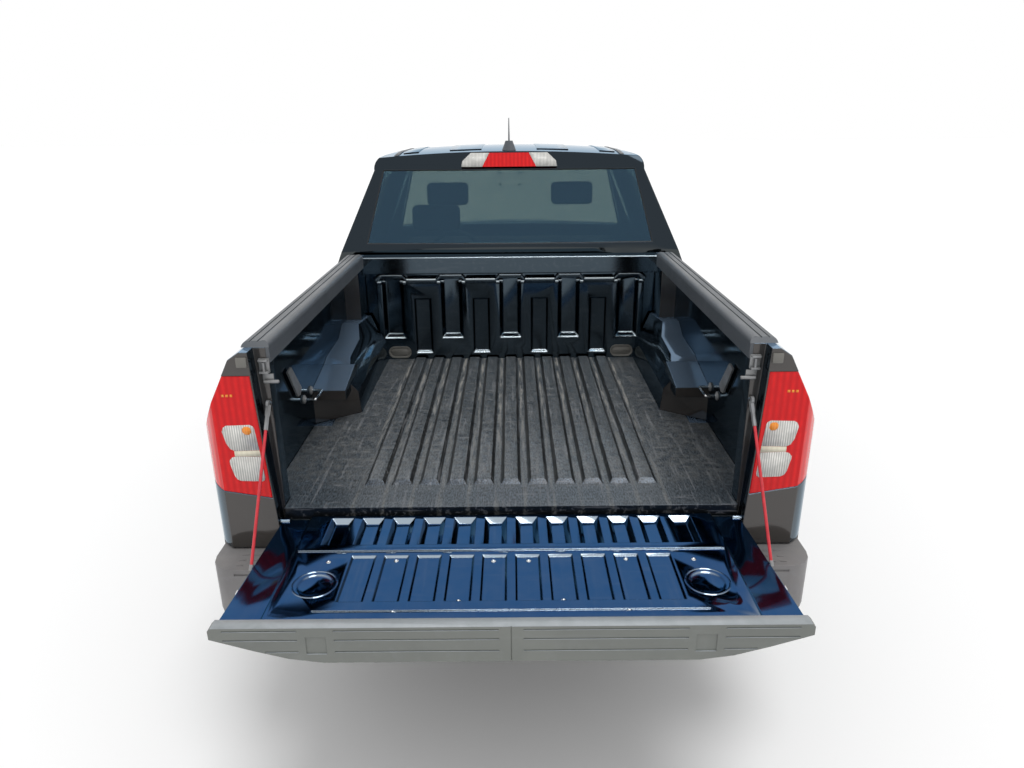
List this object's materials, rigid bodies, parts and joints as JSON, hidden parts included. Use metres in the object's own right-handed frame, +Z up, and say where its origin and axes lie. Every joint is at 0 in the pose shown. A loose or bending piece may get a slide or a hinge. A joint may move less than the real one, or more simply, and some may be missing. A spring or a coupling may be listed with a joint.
{
  "type": "pickup truck",
  "caption": "Crew-cab pickup truck with an open cargo box, its tailgate let down on two cables, opening doors and hood, steered front wheels and wheels that roll.",
  "frame": {"origin": "on the ground, midway between the truck's foremost and rearmost points with the tailgate down, on its centre plane", "axes": "+Z up, the truck faces -Y, its left side is +X"},
  "size_m": [2.06, 5.754, 1.97],
  "materials": {
    "paint": "gloss black paint over steel",
    "trim_plastic": "grained dark grey moulding",
    "dark_glass": "tinted glass",
    "clear_lens": "clear lens",
    "red_lens": "red lens",
    "coated_cable": "red coated steel cable",
    "tyre_rubber": "black tyre rubber",
    "wheel_alloy": "painted alloy",
    "frame_coat": "black chassis coat",
    "cast_steel": "cast iron",
    "exhaust_steel": "dull steel",
    "seat_cloth": "dark woven cloth",
    "cabin_plastic": "grained cabin plastic"
  },
  "bodies": {
    "truck": {"antenna": "trim_plastic", "box_floor": "paint", "box_side_left": "paint", "box_side_right": "paint", "bulkhead": "paint", "cab_shell": "paint", "cowl_panel": "paint", "cross_members": "frame_coat", "dashboard": "cabin_plastic", "exhaust": "exhaust_steel", "fender_left": "paint", "fender_right": "paint", "frame_rail_left": "frame_coat", "frame_rail_right": "frame_coat", "front_arms": "frame_coat", "front_bumper": "trim_plastic", "front_panel": "paint", "front_seats": "seat_cloth", "fuel_tank": "frame_coat", "grille": "trim_plastic", "head_lamps": "clear_lens", "powertrain": "cast_steel", "rail_caps": "trim_plastic", "rear_axle_housing": "cast_steel", "rear_bumper": "trim_plastic", "rear_seat": "seat_cloth", "rear_window": "dark_glass", "spare_wheel": "tyre_rubber", "tail_lamps": "red_lens", "tailgate_cable_left": "coated_cable", "tailgate_cable_right": "coated_cable", "top_lamp": "red_lens", "tow_receiver": "frame_coat", "windshield": "dark_glass"},
    "hood": {"hood": "paint"},
    "door_front_left": {"door_front_left": "paint", "door_glass_front_left": "dark_glass", "mirror_left": "trim_plastic"},
    "door_front_right": {"door_front_right": "paint", "door_glass_front_right": "dark_glass", "mirror_right": "trim_plastic"},
    "door_rear_left": {"door_rear_left": "paint", "door_glass_rear_left": "dark_glass"},
    "door_rear_right": {"door_rear_right": "paint", "door_glass_rear_right": "dark_glass"},
    "tailgate": {"tailgate": "paint", "tailgate_cap": "trim_plastic"},
    "knuckle_left": {"knuckle_left": "cast_steel"},
    "knuckle_right": {"knuckle_right": "cast_steel"},
    "wheel_front_left": {"tyre_front_left": "tyre_rubber", "rim_front_left": "wheel_alloy"},
    "wheel_front_right": {"tyre_front_right": "tyre_rubber", "rim_front_right": "wheel_alloy"},
    "wheel_rear_left": {"tyre_rear_left": "tyre_rubber", "rim_rear_left": "wheel_alloy"},
    "wheel_rear_right": {"tyre_rear_right": "tyre_rubber", "rim_rear_right": "wheel_alloy"},
    "steering_wheel": {"steering_wheel": "cabin_plastic"}
  },
  "joints": [
    {"name": "hood_hinge", "type": "hinge", "parent": "truck", "child": "hood", "pos_m": [0, -1.278, 1.196], "axis": [-1, 0, 0], "range_deg": [0, 45]},
    {"name": "door_front_left_hinge", "type": "hinge", "parent": "truck", "child": "door_front_left", "pos_m": [0.934, -1.135, 0.9], "axis": [0, 0, -1], "range_deg": [0, 65]},
    {"name": "door_front_right_hinge", "type": "hinge", "parent": "truck", "child": "door_front_right", "pos_m": [-0.934, -1.135, 0.9], "axis": [0, 0, 1], "range_deg": [0, 65]},
    {"name": "door_rear_left_hinge", "type": "hinge", "parent": "truck", "child": "door_rear_left", "pos_m": [0.934, -0.135, 0.9], "axis": [0, 0, -1], "range_deg": [0, 65]},
    {"name": "door_rear_right_hinge", "type": "hinge", "parent": "truck", "child": "door_rear_right", "pos_m": [-0.934, -0.135, 0.9], "axis": [0, 0, 1], "range_deg": [0, 65]},
    {"name": "tailgate_hinge", "type": "hinge", "parent": "truck", "child": "tailgate", "pos_m": [0, 2.345, 0.8], "axis": [1, 0, 0], "range_deg": [0, 90], "deforming": ["tailgate_cable_left", "tailgate_cable_right"]},
    {"name": "steer_left", "type": "hinge", "parent": "truck", "child": "knuckle_left", "pos_m": [0.72, -1.973, 0.384], "axis": [0, 0, 1], "range_deg": [-33, 33]},
    {"name": "steer_right", "type": "hinge", "parent": "truck", "child": "knuckle_right", "pos_m": [-0.72, -1.973, 0.384], "axis": [0, 0, 1], "range_deg": [-33, 33]},
    {"name": "steering_wheel_turn", "type": "hinge", "parent": "truck", "child": "steering_wheel", "pos_m": [0.37, -0.635, 1.08], "axis": [0, 0.9063, 0.4226], "range_deg": [-496, 496]},
    {"name": "wheel_front_left_spin", "type": "hinge", "parent": "knuckle_left", "child": "wheel_front_left", "pos_m": [0.78, -1.973, 0.384], "axis": [1, 0, 0], "continuous": true},
    {"name": "wheel_front_right_spin", "type": "hinge", "parent": "knuckle_right", "child": "wheel_front_right", "pos_m": [-0.78, -1.973, 0.384], "axis": [1, 0, 0], "continuous": true},
    {"name": "wheel_rear_left_spin", "type": "hinge", "parent": "truck", "child": "wheel_rear_left", "pos_m": [0.78, 1.253, 0.384], "axis": [1, 0, 0], "continuous": true},
    {"name": "wheel_rear_right_spin", "type": "hinge", "parent": "truck", "child": "wheel_rear_right", "pos_m": [-0.78, 1.253, 0.384], "axis": [1, 0, 0], "continuous": true}
  ],
  "couplings": [
    {"joint": "steer_right", "follows": "steer_left", "ratio": 1},
    {"joint": "steering_wheel_turn", "follows": "steer_left", "ratio": 15}
  ]
}
